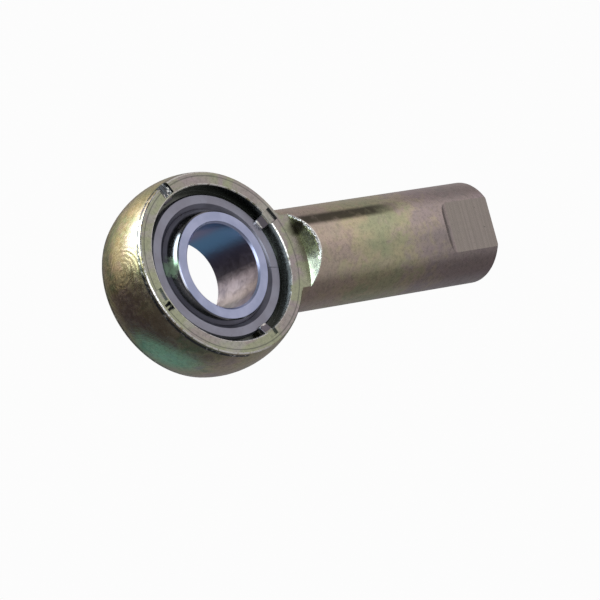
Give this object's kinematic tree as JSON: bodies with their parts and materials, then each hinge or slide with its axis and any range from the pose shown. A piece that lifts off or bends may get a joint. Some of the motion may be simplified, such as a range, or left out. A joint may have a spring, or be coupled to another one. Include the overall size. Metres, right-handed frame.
{
  "type": "rod end bearing",
  "caption": "Rod end with a round eye that holds a swivelling ball bearing, on a straight shank with a female thread and wrench flats.",
  "frame": {"origin": "centre of the ball, on the axis of the bearing seat, midway between the two faces of the eye", "axes": "+X along the shank, out of its threaded end; +Z along the seat axis, square to the faces of the eye; +Y completes the right-handed set"},
  "size_m": [0.104, 0.0468, 0.0242],
  "materials": {
    "plated_steel": "yellow-passivated zinc plate, iridescent olive, straw and pink, semi-gloss with turning marks",
    "ring_steel": "ground bearing steel, satin, slightly violet grey",
    "ball_steel": "ground bearing steel, bright satin faces, dark polished ball"
  },
  "bodies": {
    "housing": {"rod_end_housing": "plated_steel", "outer_ring": "ring_steel"},
    "ball": {"inner_ring": "ball_steel"}
  },
  "joints": [
    {"name": "ball_tilt", "type": "hinge", "parent": "housing", "child": "ball", "pos_m": [0, 0, 0], "axis": [0.9135, 0.4067, 0], "range_deg": [-14, 4]}
  ]
}
